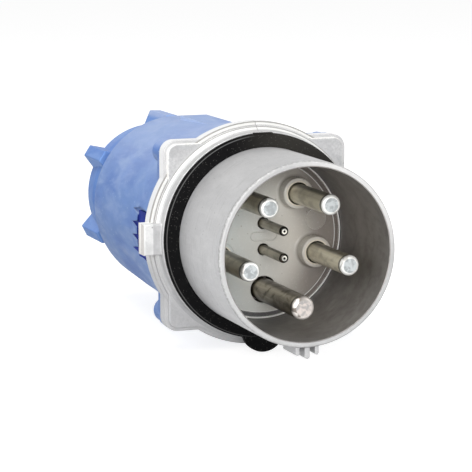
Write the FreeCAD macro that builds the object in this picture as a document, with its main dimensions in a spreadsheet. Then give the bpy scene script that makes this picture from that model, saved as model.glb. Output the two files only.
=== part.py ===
import FreeCAD, Part
import math
import os
import Sketcher
from FreeCAD import Placement, Rotation, Vector

# Industrial pin and sleeve plug, five poles and two pilot contacts, lying on its side.
# The plug's axis is Y, the contacts face -Y, the key is at the bottom and +Z is up.
# The origin lies on the axis, in the plane where the gasket's front face meets the sleeve.
# All sizes are millimetres. A name that ends in _y is a place along the axis.

SIZES = {
    # Protecting sleeve
    "sleeve_radius": 54.0,
    "sleeve_bore_radius": 50.6,
    "rim_y": -70.0,
    "rim_round": 1.2,
    # Stepped flange of the casting
    "gasket_seat_y": 5.2,
    "collar_radius": 62.8,
    "collar_shoulder_y": 11.8,
    "collar_foot_radius": 64.6,
    "plateau_y": 14.3,
    "plateau_radius": 65.6,
    "flange_front_y": 16.6,
    "flange_radius": 68.0,
    "flange_rear_y": 25.0,
    "ear_half_width": 58.1,
    "ear_top": 58.3,
    "ear_bottom": 57.0,
    "plateau_inset": 2.0,
    "ear_corner_radius": 8.0,
    "ear_start": 32.0,
    "ear_root": 41.0,
    "edge_round": 0.8,
    # Recesses in the casting for the contact carrier and its retaining ring
    "carrier_ledge_y": 8.0,
    "carrier_pocket_radius": 56.0,
    "retainer_ledge_y": 16.0,
    "rear_recess_radius": 62.0,
    # Side lugs
    "lug_reach": 73.3,
    "lug_top": 10.0,
    "lug_bottom": 8.6,
    "lug_front_y": 8.4,
    "lug_length": 10.4,
    "lug_sink": 2.0,
    # Key ribs under the rim
    "key_start_y": -68.5,
    "key_length": 20.0,
    "key_middle_reach": 60.8,
    "key_middle_width": 3.0,
    "key_side_reach": 58.7,
    "key_side_width": 2.3,
    "key_side_offset": 5.95,
    "key_sink": 2.4,
    # Gasket
    "gasket_radius": 62.2,
    "gasket_face_radius": 60.9,
    "gasket_slope": 2.2,
    "gasket_side_y": 3.4,
    "gasket_bump_centre": 57.0,
    "gasket_bump_radius": 13.6,
    "gasket_tab_half_width": 5.8,
    "gasket_tab_top": 62.5,
    "gasket_tab_bottom": 58.0,
    # Clearance of what is pushed together, and how far a cut runs past what it cuts
    "snug": 0.15,
    "overcut": 1.0,
    # Contact carrier
    "carrier_face_y": 3.0,
    "carrier_face_radius": 46.3,
    "carrier_step_radius": 47.0,
    "carrier_step": 1.8,
    "carrier_lip_width": 0.9,
    "carrier_lip_rise": 0.9,
    "carrier_edge_gap": 0.3,
    "carrier_hub_radius": 48.5,
    "carrier_rear_y": 20.0,
    "contact_circle": 32.3,
    "collar_rise": 9.6,
    "contact_collar_radius": 9.4,
    "contact_collar_foot": 1.6,
    "contact_hole_gap": 0.8,
    "earth_hole_gap": 1.2,
    "pad_x": 34.0,
    "pad_z": 8.8,
    "pad_radius": 6.4,
    "pad_rise": 0.4,
    "mark_half_length": 8.5,
    "mark_half_width": 2.9,
    "mark_depth": 0.4,
    "mark_line": 0.5,
    # Contacts
    "phase_radius": 6.0,
    "phase_tip_y": -58.3,
    "phase_bevel": 1.8,
    "earth_radius": 7.0,
    "earth_tip_y": -63.2,
    "earth_bevel": 2.3,
    "pilot_radius": 2.9,
    "pilot_tip_y": -32.2,
    "pilot_bevel": 1.3,
    "pilot_offset": 8.0,
    "pilot_centre_radius": 0.6,
    "pilot_centre_depth": 0.6,
    "shaft_relief": 0.3,
    "stop_flange_extra": 4.0,
    "stop_flange_length": 4.0,
    "pilot_flange_extra": 1.8,
    "barrel_extra": 3.0,
    "barrel_end_y": 54.0,
    "pilot_barrel_extra": 1.0,
    "pilot_barrel_end_y": 46.0,
    "wire_hole_gap": 0.3,
    "wire_hole_depth": 26.0,
    "pilot_wire_radius": 1.8,
    "pilot_wire_depth": 12.0,
    # Terminal screws
    "terminal_screw_radius": 3.9,
    "terminal_screw_length": 7.5,
    "terminal_screw_bite": 1.5,
    "terminal_screw_first": 8.0,
    "terminal_screw_pitch": 11.0,
    "terminal_socket_radius": 2.2,
    "pilot_screw_radius": 1.4,
    "pilot_screw_length": 2.6,
    "pilot_socket_radius": 0.8,
    # Rear half of the carrier and its screws
    "back_radius": 46.0,
    "back_end_y": 58.0,
    "chamber_gap": 0.3,
    "window_half_width": 6.0,
    "window_start_y": 30.0,
    "carrier_screw_circle": 39.0,
    "carrier_screw_radius": 2.0,
    "carrier_screw_reach": 10.0,
    "screw_head_radius": 3.8,
    "screw_head_height": 3.0,
    "head_seat_depth": 26.0,
    "screw_gap": 0.2,
    "screw_socket_radius": 2.3,
    # Retaining ring and its screws
    "retainer_bore_radius": 49.0,
    "retainer_thickness": 2.4,
    "retainer_screw_circle": 59.0,
    "retainer_screw_radius": 1.7,
    "retainer_screw_reach": 6.0,
    "retainer_head_radius": 2.8,
    "retainer_head_height": 1.1,
    "retainer_socket_radius": 1.3,
    # Rear housing
    "spigot_front_y": 19.8,
    "spigot_bore_radius": 58.0,
    "housing_front_radius": 67.0,
    "housing_waist_radius": 58.9,
    "housing_waist_y": 122.0,
    "flare_radius": 760.0,
    "shoulder_start_radius": 56.9,
    "shoulder_length": 14.0,
    "shoulder_end_radius": 50.5,
    "housing_rear_y": 178.0,
    "shoulder_radius": 19.0,
    "housing_wall": 4.0,
    "inner_flare_y": 48.0,
    "rear_wall": 4.5,
    "neck_ledge": 5.0,
    "neck_radius": 41.0,
    "neck_length": 26.0,
    "neck_bore_radius": 36.0,
    "neck_seat_depth": 19.0,
    "neck_seat_radius": 27.0,
    "thread_setback": 4.0,
    "thread_pitch": 3.0,
    "thread_depth": 1.2,
    "thread_half_width": 1.1,
    "plate_thickness": 4.6,
    "plate_inset": 0.3,
    "boss_x": 49.6,
    "boss_top": 49.6,
    "boss_bottom": 48.0,
    "boss_radius": 7.6,
    "boss_end_y": 41.0,
    "top_rib_half_width": 9.0,
    "top_rib_height": 60.6,
    "top_rib_end_y": 131.0,
    # Housing seal
    "seal_groove_y": 20.9,
    "seal_width": 2.4,
    "seal_depth": 1.9,
    # Housing screws
    "housing_screw_radius": 2.5,
    "housing_screw_reach": 17.6,
    "housing_head_radius": 4.4,
    "housing_head_height": 4.0,
    "housing_head_sink": 5.5,
    # Lug pads let into the housing behind the lugs
    "recess_depth": 7.3,
    "recess_wall": 2.3,
    "recess_front_y": 27.0,
    "recess_end_y": 55.5,
    "recess_top": 14.4,
    "recess_bottom": 16.6,
    "lug_pad_thickness": 1.6,
    "lug_pad_top": 12.2,
    "notch_pitch": 8.1,
    "notch_shift": -0.6,
    "notch_half_width": 1.9,
    "notch_end_y": 69.0,
    # Gland
    "thread_gap": 0.08,
    "ring_clearance": 0.1,
    "face_gap": 0.1,
    "seal_bore_radius": 20.0,
    "seal_length": 13.0,
    "seal_chamfer": 1.0,
    "ring_bore_radius": 26.5,
    "ring_flange_thickness": 4.0,
    "ring_flange_radius": 40.4,
    "tighten_travel": 3.0,
    "nut_gap": 2.0,
    "nut_front_radius": 50.0,
    "nut_collar_length": 15.0,
    "nut_rear_radius": 46.0,
    "nut_length": 39.0,
    "nut_bore_radius": 27.5,
    "nut_mouth_radius": 33.0,
    "wing_reach": 55.4,
    "wing_root_radius": 44.0,
    "wing_root_half_width": 8.2,
    "wing_tip_half_width": 3.9,
    "wing_setback": 3.0,
    "wing_round": 1.0,
}

# Angles in degrees, counted from +X towards +Z, seen from the front of the plug.
CONTACT_NAMES = ("pin_earth", "pin_phase_3", "pin_phase_2", "pin_phase_1", "pin_neutral")
FIRST_CONTACT_ANGLE = -90.0
CONTACT_ANGLES = {name: FIRST_CONTACT_ANGLE + 360.0 * i / len(CONTACT_NAMES)
                  for i, name in enumerate(CONTACT_NAMES)}
CARRIER_SCREW_ANGLES = (90.0, -54.0, -126.0)
RETAINER_SCREW_ANGLES = (0.0, 90.0, 180.0, 270.0)
WING_COUNT = 6
THREAD_COUNT = 7
FIRST_WING_ANGLE = 27.3
# Middles of the recess's notches, counted in notch pitches. The pad has teeth in all but the top one.
NOTCH_STEPS = (-1.5, -0.5, 0.5, 1.5)
# The radius of a contact's rounded tip edge against the size of the edge.
BEVEL_ROUND_RATIO = 1.2
# How much further a tooth's point stands back than its flanks, for the same clearance.
TOOTH_POINT_RATIO = 6.0
# The depth of a screw's socket against the height of its head or the length of its stem.
SOCKET_RATIO = 0.6
# A half round is drawn with a radius this much above half its width, so that its centre can be found.
HALF_ROUND_RATIO = 1.0001
# Nearer than this is the same place, and a cut of less than this volume has missed.
TOUCH = 1e-4
LEAST_CUT = 1e-3
EAR_CORNERS = ((-1, -1), (-1, 1), (1, -1), (1, 1))

doc = FreeCAD.newDocument("pin_and_sleeve_plug")
sheet = doc.addObject("Spreadsheet::Sheet", "Sizes")
for row, (alias, number) in enumerate(SIZES.items(), start=1):
    sheet.set("A%d" % row, alias)
    sheet.set("B%d" % row, repr(number))
    sheet.setAlias("B%d" % row, alias)
doc.recompute()


class Size:
    """A number together with the sheet expression that it comes from."""

    def __init__(self, value, text):
        self.value = value
        self.text = text

    def __add__(self, other):
        other = as_size(other)
        return Size(self.value + other.value, "(%s + %s)" % (self.text, other.text))

    def __sub__(self, other):
        other = as_size(other)
        return Size(self.value - other.value, "(%s - %s)" % (self.text, other.text))

    def __mul__(self, other):
        other = as_size(other)
        return Size(self.value * other.value, "(%s * %s)" % (self.text, other.text))

    def __neg__(self):
        return Size(-self.value, "(0 - %s)" % self.text)


def as_size(number):
    """A plain number as a Size, so that both can be mixed in a formula."""
    if isinstance(number, Size):
        return number
    return Size(float(number), repr(float(number)))


def size(alias):
    """The sheet's value of that name."""
    return Size(float(sheet.get(alias)), "Sizes.%s" % alias)


def polar(radius, degrees):
    """The point at that radius and angle, as two sizes."""
    turn = math.radians(degrees)
    return radius * math.cos(turn), radius * math.sin(turn)


def new_body(label):
    """An empty body whose label is the name of its file."""
    body = doc.addObject("PartDesign::Body", label)
    body.Label = label
    return body


def origin_feature(body, role):
    """The body's own origin plane or axis of that role."""
    return [part for part in body.Origin.OriginFeatures if part.Role == role][0]


class Drawing:
    """A sketch on one of the body's own origin planes, with every point tied to the sheet."""

    def __init__(self, body, name, plane, height=None):
        self.sketch = body.newObject("Sketcher::SketchObject", name)
        self.sketch.AttachmentSupport = [(origin_feature(body, plane), "")]
        self.sketch.MapMode = "FlatFace"
        if height is not None:
            self.sketch.setExpression("AttachmentOffset.Base.z", height.text)

    def bind(self, kind, *reference):
        """One dimension whose value comes from the sheet."""
        length = reference[-1]
        index = self.sketch.addConstraint(Sketcher.Constraint(kind, *reference[:-1], length.value))
        self.sketch.setExpression("Constraints[%d]" % index, length.text)

    def place(self, geometry, corner, point):
        """Ties one end or centre to its two distances from the sketch's origin."""
        for kind, distance in (("DistanceX", point[0]), ("DistanceY", point[1])):
            self.bind(kind, -1, 1, geometry, corner, as_size(distance))

    def circle(self, centre, radius):
        """A full circle."""
        middle = Vector(as_size(centre[0]).value, as_size(centre[1]).value, 0)
        geometry = self.sketch.addGeometry(Part.Circle(middle, Vector(0, 0, 1), radius.value))
        self.place(geometry, 3, centre)
        self.bind("Radius", geometry, radius)

    def outline(self, points):
        """A closed outline. A point is (x, y), or (x, y, radius, side) where an arc arrives at it."""
        corners = [Vector(as_size(p[0]).value, as_size(p[1]).value, 0) for p in points]
        first = None
        previous = None
        for number, point in enumerate(points):
            start, end = corners[number - 1], corners[number]
            if len(point) == 4:
                edge = arc_between(start, end, point[2].value, point[3])
                geometry = self.sketch.addGeometry(edge)
                starts, ends = (1, 2) if point[3] > 0 else (2, 1)
                self.bind("Radius", geometry, point[2])
            else:
                geometry = self.sketch.addGeometry(Part.LineSegment(start, end))
                starts, ends = 1, 2
            if previous is not None:
                self.join(previous, (geometry, starts))
            else:
                first = (geometry, starts)
            previous = (geometry, ends)
            self.place(geometry, ends, point)
        self.join(previous, first)

    def join(self, one, other):
        """The end of one edge is the start of the next."""
        self.sketch.addConstraint(Sketcher.Constraint("Coincident", *one, *other))


def arc_between(start, end, radius, side):
    """An arc of that radius. side is 1 where its middle lies to the right of the way, else -1."""
    half = (end - start) * 0.5
    across = Vector(half.y, -half.x, 0).normalize()
    depth = math.sqrt(radius ** 2 - half.Length ** 2)
    centre = start + half - across * (side * depth)
    ends = (start, end) if side > 0 else (end, start)
    angles = [math.atan2(point.y - centre.y, point.x - centre.x) for point in ends]
    return Part.ArcOfCircle(Part.Circle(centre, Vector(0, 0, 1), radius), *angles)


def revolve(body, name, points):
    """Turns an outline of (radius, y) points about the Y axis."""
    drawing = Drawing(body, name + "_profile", "XY_Plane")
    drawing.outline(points)
    feature = body.newObject("PartDesign::Revolution", name)
    feature.Profile = drawing.sketch
    feature.ReferenceAxis = (drawing.sketch, ["V_Axis"])
    feature.Angle = 360.0
    doc.recompute()
    return feature


def crosswise(body, name, start_y):
    """A drawing in X and Z at that place along the axis."""
    return Drawing(body, name, "XZ_Plane", -as_size(start_y))


def pad_back(body, name, drawing, length):
    """Adds the drawn shape from its plane towards the rear."""
    feature = body.newObject("PartDesign::Pad", name)
    feature.Profile = drawing.sketch
    feature.Reversed = True
    feature.setExpression("Length", length.text)
    doc.recompute()
    return feature


def cut_back(body, name, drawing, length):
    """Removes the drawn shape from its plane towards the rear."""
    before = body.Shape.Volume
    feature = body.newObject("PartDesign::Pocket", name)
    feature.Profile = drawing.sketch
    feature.setExpression("Length", length.text)
    doc.recompute()
    if body.Shape.Volume > before - LEAST_CUT:
        raise RuntimeError("%s removes nothing" % name)
    return feature


def repeat_round(body, name, originals, count):
    """Repeats features round the plug's axis."""
    feature = body.newObject("PartDesign::PolarPattern", name)
    feature.Originals = originals
    feature.Axis = (origin_feature(body, "Y_Axis"), [""])
    feature.Angle = 360.0
    feature.Occurrences = count
    body.Tip = feature
    doc.recompute()
    return feature


def round_edges(body, name, radius, chosen):
    """Rounds the edges of the body's tip that the test picks."""
    base = body.Tip
    edges = ["Edge%d" % (i + 1) for i, edge in enumerate(base.Shape.Edges) if chosen(edge)]
    feature = body.newObject("PartDesign::Fillet", name)
    feature.Base = (base, edges)
    feature.setExpression("Radius", radius.text)
    doc.recompute()
    return feature


def circle_at(edge, radius, y):
    """True for a round edge of that radius at that place along the axis."""
    curve = edge.Curve
    if not isinstance(curve, Part.Circle):
        return False
    return abs(curve.Radius - radius.value) < TOUCH and abs(curve.Center.y - y.value) < TOUCH


def ear_outline(side_x, side_z, inset):
    """One ear: two straight sides, a round outer corner and an inner corner under the round flange."""
    reach_x = (size("ear_half_width") - inset) * side_x
    reach_z = (size("ear_top") if side_z > 0 else size("ear_bottom")) * side_z - inset * side_z
    corner = size("ear_corner_radius") - inset
    bulge = -side_x * side_z
    return [
        (size("ear_start") * side_x, reach_z),
        (reach_x - corner * side_x, reach_z),
        (reach_x, reach_z - corner * side_z, corner, bulge),
        (reach_x, size("ear_start") * side_z),
        (size("ear_root") * side_x, size("ear_root") * side_z),
    ]


def boss_centre(side_x, side_z):
    """The middle of that corner's screw boss."""
    return size("boss_x") * side_x, (size("boss_top") if side_z > 0 else size("boss_bottom")) * side_z


def on_ear_edge(edge):
    """True for the front edges of the ears that stand outside the round plateau."""
    middle = edge.CenterOfMass
    return (abs(middle.y - size("plateau_y").value) < TOUCH
            and all(abs(vertex.Point.y - middle.y) < TOUCH for vertex in edge.Vertexes)
            and math.hypot(middle.x, middle.z) > size("plateau_radius").value + TOUCH)


def on_lug_front(edge, side):
    """True for the three free edges round that side's lug face."""
    points = [vertex.Point for vertex in edge.Vertexes]
    outward = [point.x * side for point in points]
    return (all(abs(point.y - size("lug_front_y").value) < TOUCH for point in points)
            and min(outward) > size("collar_radius").value - size("lug_sink").value
            and max(outward) > size("lug_reach").value - TOUCH)


def obround(straight, half_width):
    """A slot's outline with round ends."""
    bend = half_width * HALF_ROUND_RATIO
    return [
        (straight, -half_width),
        (straight, half_width, bend, 1),
        (-straight, half_width),
        (-straight, -half_width, bend, 1),
    ]


def contact_places():
    """Centre, shaft radius, hole gap, stop flange and barrel allowances of every contact."""
    places = []
    for name, angle in CONTACT_ANGLES.items():
        kind = "earth" if name == "pin_earth" else "phase"
        gap = size("earth_hole_gap") if kind == "earth" else size("contact_hole_gap")
        places.append((polar(size("contact_circle"), angle), size(kind + "_radius"), gap,
                       size("stop_flange_extra"), size("barrel_extra")))
    for side in (-1, 1):
        places.append(((as_size(0), size("pilot_offset") * side), size("pilot_radius"),
                       size("contact_hole_gap"), size("pilot_flange_extra"), size("pilot_barrel_extra")))
    return places


def turned(points, degrees):
    """The same outline turned about the plug's axis."""
    turn = math.radians(degrees)
    return [(x * math.cos(turn) - z * math.sin(turn), x * math.sin(turn) + z * math.cos(turn))
            for x, z in points]


def group(label, shapes):
    """Separate like solids that share one name."""
    feature = doc.addObject("Part::Feature", label)
    feature.Label = label
    feature.Shape = Part.makeCompound(shapes)
    return feature


def screw(shank_radius, head_radius, head_height, length, socket):
    """A cap screw along +Y with its head's underside at the origin and a six-sided socket."""
    head = Part.makeCylinder(head_radius, head_height, Vector(0, 0, 0), Vector(0, 1, 0))
    shank = Part.makeCylinder(shank_radius, length, Vector(0, 0, 0), Vector(0, -1, 0))
    corners = [Vector(socket * math.cos(k * math.pi / 3), head_height, socket * math.sin(k * math.pi / 3))
               for k in range(7)]
    hexagon = Part.Face(Part.makePolygon(corners))
    recess = hexagon.extrude(Vector(0, -head_height * SOCKET_RATIO, 0))
    return head.fuse(shank).cut(recess).removeSplitter()


def grub_screw(radius, length, socket):
    """A headless screw along +X with a six-sided socket in its outer end."""
    stem = Part.makeCylinder(radius, length, Vector(0, 0, 0), Vector(1, 0, 0))
    corners = [Vector(length, socket * math.cos(k * math.pi / 3), socket * math.sin(k * math.pi / 3))
               for k in range(7)]
    recess = Part.Face(Part.makePolygon(corners)).extrude(Vector(-length * SOCKET_RATIO, 0, 0))
    return stem.cut(recess)


def make_sleeve_shell():
    """The die-cast front: sleeve, stepped flange with four ears, two side lugs and the key."""
    body = new_body("sleeve_shell")
    revolve(body, "sleeve_and_flange", [
        (size("sleeve_bore_radius"), size("rim_y")),
        (size("sleeve_radius"), size("rim_y")),
        (size("sleeve_radius"), size("gasket_seat_y")),
        (size("collar_radius"), size("gasket_seat_y")),
        (size("collar_radius"), size("collar_shoulder_y")),
        (size("collar_foot_radius"), size("plateau_y")),
        (size("plateau_radius"), size("plateau_y")),
        (size("plateau_radius"), size("flange_front_y")),
        (size("flange_radius"), size("flange_front_y")),
        (size("flange_radius"), size("flange_rear_y")),
        (size("rear_recess_radius"), size("flange_rear_y")),
        (size("rear_recess_radius"), size("retainer_ledge_y")),
        (size("carrier_pocket_radius"), size("retainer_ledge_y")),
        (size("carrier_pocket_radius"), size("carrier_ledge_y")),
        (size("sleeve_bore_radius"), size("carrier_ledge_y")),
    ])
    base = crosswise(body, "ear_base_outlines", size("flange_front_y"))
    top = crosswise(body, "ear_plateau_outlines", size("plateau_y"))
    for corner in EAR_CORNERS:
        base.outline(ear_outline(*corner, as_size(0)))
        top.outline(ear_outline(*corner, size("plateau_inset")))
    pad_back(body, "ear_bases", base, size("flange_rear_y") - size("flange_front_y"))
    pad_back(body, "ear_plateaus", top, size("flange_front_y") - size("plateau_y"))
    round_edges(body, "ear_edge_rounding", size("edge_round"), on_ear_edge)
    for name, side in (("lug_left", -1), ("lug_right", 1)):
        lug = crosswise(body, name + "_outline", size("lug_front_y"))
        inner = (size("collar_radius") - size("lug_sink")) * side
        outer = size("lug_reach") * side
        lug.outline([(inner, -size("lug_bottom")), (outer, -size("lug_bottom")),
                     (outer, size("lug_top")), (inner, size("lug_top"))])
        pad_back(body, name, lug, size("lug_length"))
        round_edges(body, name + "_rounding", size("edge_round"),
                    lambda edge: on_lug_front(edge, side))
    recess = crosswise(body, "rear_recess_outline", size("retainer_ledge_y"))
    recess.circle((as_size(0), as_size(0)), size("rear_recess_radius"))
    cut_back(body, "rear_recess", recess, size("flange_rear_y") - size("retainer_ledge_y"))
    # The three key ribs stand on the sleeve and are sunk a little into its wall.
    sunk = size("sleeve_radius") - size("key_sink")
    for name, offset, width, reach in (
            ("key_rib_left", -size("key_side_offset"), size("key_side_width"), size("key_side_reach")),
            ("key_rib_middle", as_size(0), size("key_middle_width"), size("key_middle_reach")),
            ("key_rib_right", size("key_side_offset"), size("key_side_width"), size("key_side_reach"))):
        half = width * 0.5
        rib = crosswise(body, name + "_outline", size("key_start_y"))
        rib.outline([(offset - half, -sunk), (offset - half, -reach + half),
                     (offset + half, -reach + half, half * HALF_ROUND_RATIO, 1), (offset + half, -sunk)])
        pad_back(body, name, rib, size("key_length"))
    ear_holes = crosswise(body, "ear_thread_outlines", size("housing_screw_reach") - size("screw_gap"))
    for corner in EAR_CORNERS:
        ear_holes.circle(boss_centre(*corner), size("housing_screw_radius") + size("screw_gap"))
    cut_back(body, "ear_threads", ear_holes, size("flange_rear_y") - size("plateau_y"))
    ring_hole = crosswise(body, "retainer_thread_outline",
                          size("retainer_ledge_y") - size("retainer_screw_reach"))
    ring_hole.circle((size("retainer_screw_circle"), as_size(0)),
                     size("retainer_screw_radius") + size("screw_gap"))
    tapped = cut_back(body, "retainer_thread", ring_hole, size("retainer_screw_reach"))
    repeat_round(body, "retainer_threads", [tapped], len(RETAINER_SCREW_ANGLES))
    round_edges(body, "rim_rounding", size("rim_round"),
                lambda edge: circle_at(edge, size("sleeve_radius"), size("rim_y")))
    return body


def make_flange_gasket():
    """The rubber ring on the flange, with a round bump over the key and a tab at the top."""
    body = new_body("flange_gasket")
    bore = size("sleeve_radius") + size("snug")
    revolve(body, "gasket_ring", [
        (bore, as_size(0)),
        (size("gasket_face_radius"), size("gasket_slope")),
        (size("gasket_radius"), size("gasket_side_y")),
        (size("gasket_radius"), size("gasket_seat_y")),
        (bore, size("gasket_seat_y")),
    ])
    bump = crosswise(body, "bump_outline", size("gasket_slope"))
    bump.circle((as_size(0), -size("gasket_bump_centre")), size("gasket_bump_radius"))
    thickness = size("gasket_seat_y") - size("gasket_slope")
    pad_back(body, "bump", bump, thickness)
    tab = crosswise(body, "tab_outline", size("gasket_slope"))
    half = size("gasket_tab_half_width")
    tab.outline([(-half, size("gasket_tab_bottom")), (half, size("gasket_tab_bottom")),
                 (half, size("gasket_tab_top")), (-half, size("gasket_tab_top"))])
    pad_back(body, "tab", tab, thickness)
    clear = crosswise(body, "bore_outline", -size("gasket_slope"))
    clear.circle((as_size(0), as_size(0)), bore)
    cut_back(body, "bore", clear, size("gasket_seat_y") + size("gasket_slope") * 2)
    return body


def make_contact_carrier():
    """The insulating disc behind the sleeve: a lipped face, four raised collars and the contact holes."""
    body = new_body("contact_carrier")
    face = size("carrier_face_y")
    edge_radius = size("sleeve_bore_radius") - size("carrier_edge_gap")
    flange_radius = size("carrier_pocket_radius") - size("carrier_edge_gap")
    revolve(body, "disc", [
        (as_size(0), face),
        (size("carrier_face_radius"), face),
        (size("carrier_step_radius"), face + size("carrier_step")),
        (edge_radius - size("carrier_lip_width"), face + size("carrier_step")),
        (edge_radius - size("carrier_lip_width"), face + size("carrier_step") - size("carrier_lip_rise")),
        (edge_radius, face + size("carrier_step") - size("carrier_lip_rise")),
        (edge_radius, size("carrier_ledge_y")),
        (flange_radius, size("carrier_ledge_y")),
        (flange_radius, size("retainer_ledge_y")),
        (size("carrier_hub_radius"), size("retainer_ledge_y")),
        (size("carrier_hub_radius"), size("carrier_rear_y")),
        (as_size(0), size("carrier_rear_y")),
    ])
    phase_angles = [angle for name, angle in CONTACT_ANGLES.items() if name != "pin_earth"]
    collar_front = face - size("collar_rise")
    collars = crosswise(body, "collar_outlines", collar_front)
    for angle in phase_angles:
        collars.circle(polar(size("contact_circle"), angle), size("contact_collar_radius"))
    pad_back(body, "collars", collars, size("collar_rise") + size("carrier_step"))
    round_edges(body, "collar_feet", size("contact_collar_foot"),
                lambda edge: circle_at(edge, size("contact_collar_radius"), face))
    round_edges(body, "collar_rims", size("edge_round"),
                lambda edge: circle_at(edge, size("contact_collar_radius"), collar_front))
    plate = crosswise(body, "round_pad_outline", face - size("pad_rise"))
    plate.circle((size("pad_x"), size("pad_z")), size("pad_radius"))
    pad_back(body, "round_pad", plate, size("pad_rise") + size("carrier_step"))
    mark = crosswise(body, "mark_outline", face)
    for shrink in (as_size(0), size("mark_line")):
        half_width = size("mark_half_width") - shrink
        straight = size("mark_half_length") - size("mark_half_width")
        mark.outline(obround(straight, half_width))
    cut_back(body, "mark", mark, size("mark_depth"))
    holes = crosswise(body, "contact_hole_outlines", collar_front - size("overcut"))
    stops = crosswise(body, "stop_outlines", size("carrier_rear_y") - size("stop_flange_length"))
    for centre, radius, gap, flange_extra, _ in contact_places():
        holes.circle(centre, radius + gap)
        stops.circle(centre, radius + flange_extra + size("chamber_gap"))
    cut_back(body, "contact_holes", holes, size("carrier_rear_y") - collar_front + size("overcut") * 2)
    cut_back(body, "stops", stops, size("stop_flange_length") + size("overcut"))
    threads = crosswise(body, "carrier_thread_outlines", size("carrier_screw_reach"))
    for angle in CARRIER_SCREW_ANGLES:
        threads.circle(polar(size("carrier_screw_circle"), angle),
                       size("carrier_screw_radius") + size("screw_gap"))
    cut_back(body, "carrier_threads", threads, size("carrier_rear_y"))
    return body


def make_contact(label, radius, tip_y, bevel, shaft_end_y, flange_extra, barrel_extra, barrel_end_y,
                 wire_radius, wire_depth):
    """One turned contact on its own axis: bevelled tip, stop flange and barrel with a wire hole."""
    body = new_body(label)
    rear = size("carrier_rear_y")
    barrel = radius + barrel_extra
    revolve(body, "contact", [
        (as_size(0), tip_y),
        (radius - bevel, tip_y),
        (radius, tip_y + bevel, bevel * BEVEL_ROUND_RATIO, 1),
        (radius, shaft_end_y),
        (radius - size("shaft_relief"), shaft_end_y),
        (radius - size("shaft_relief"), rear - size("stop_flange_length")),
        (radius + flange_extra, rear - size("stop_flange_length")),
        (radius + flange_extra, rear),
        (barrel, rear),
        (barrel, barrel_end_y),
        (wire_radius, barrel_end_y),
        (wire_radius, barrel_end_y - wire_depth),
        (as_size(0), barrel_end_y - wire_depth),
    ])
    return body


def cut_screw_holes(body, barrel, hole_radius, places):
    """Threaded holes from the wire hole out through the barrel, along the contact's own +X."""
    before = body.Shape.Volume
    drawing = Drawing(body, "screw_hole_outlines", "YZ_Plane")
    for place in places:
        drawing.circle((place, as_size(0)), hole_radius)
    feature = body.newObject("PartDesign::Pocket", "screw_holes")
    feature.Profile = drawing.sketch
    feature.Reversed = True
    feature.setExpression("Length", (barrel + size("overcut")).text)
    doc.recompute()
    if body.Shape.Volume > before - LEAST_CUT:
        raise RuntimeError("%s has no screw holes" % body.Label)


def make_contacts():
    """Four phase and neutral contacts, the longer earth contact, the pilots and all their screws."""
    screws = []
    for label, angle in CONTACT_ANGLES.items():
        kind = "earth" if label == "pin_earth" else "phase"
        radius = size(kind + "_radius")
        barrel = radius + size("barrel_extra")
        wire_radius = radius + size("wire_hole_gap")
        shaft_end = size("carrier_face_y")
        if kind == "phase":
            shaft_end = shaft_end - size("collar_rise")
        body = make_contact(label, radius, size(kind + "_tip_y"), size(kind + "_bevel"), shaft_end,
                            size("stop_flange_extra"), size("barrel_extra"), size("barrel_end_y"),
                            wire_radius, size("wire_hole_depth"))
        first = size("barrel_end_y") - size("terminal_screw_first")
        places = (first, first - size("terminal_screw_pitch"))
        cut_screw_holes(body, barrel, size("terminal_screw_radius") + size("screw_gap"), places)
        x, z = polar(size("contact_circle"), angle)
        body.Placement = Placement(Vector(x.value, 0, z.value), Rotation(Vector(0, 1, 0), -angle))
        for place in places:
            one = grub_screw(size("terminal_screw_radius").value, size("terminal_screw_length").value,
                             size("terminal_socket_radius").value)
            inner = wire_radius - size("terminal_screw_bite")
            one.translate(Vector(inner.value, place.value, 0))
            one.Placement = body.Placement.multiply(one.Placement)
            screws.append(one)
    group("terminal_screws", screws)
    pilot_screws = []
    for label, side in (("pin_pilot_upper", 1), ("pin_pilot_lower", -1)):
        radius = size("pilot_radius")
        barrel = radius + size("pilot_barrel_extra")
        body = make_contact(label, radius, size("pilot_tip_y"), size("pilot_bevel"),
                            size("carrier_face_y"), size("pilot_flange_extra"), size("pilot_barrel_extra"),
                            size("pilot_barrel_end_y"), size("pilot_wire_radius"),
                            size("pilot_wire_depth"))
        place = size("pilot_barrel_end_y") - size("pilot_wire_depth") * 0.5
        cut_screw_holes(body, barrel, size("pilot_screw_radius") + size("screw_gap"), (place,))
        centre = crosswise(body, "centre_mark_outline", size("pilot_tip_y"))
        centre.circle((as_size(0), as_size(0)), size("pilot_centre_radius"))
        cut_back(body, "centre_mark", centre, size("pilot_centre_depth"))
        body.Placement = Placement(Vector(0, 0, size("pilot_offset").value * side),
                                   Rotation(Vector(0, 1, 0), 0))
        one = grub_screw(size("pilot_screw_radius").value, size("pilot_screw_length").value,
                         size("pilot_socket_radius").value)
        one.translate(Vector((barrel - size("pilot_screw_length")).value, place.value, 0))
        one.Placement = body.Placement.multiply(one.Placement)
        pilot_screws.append(one)
    group("pilot_screws", pilot_screws)


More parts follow.
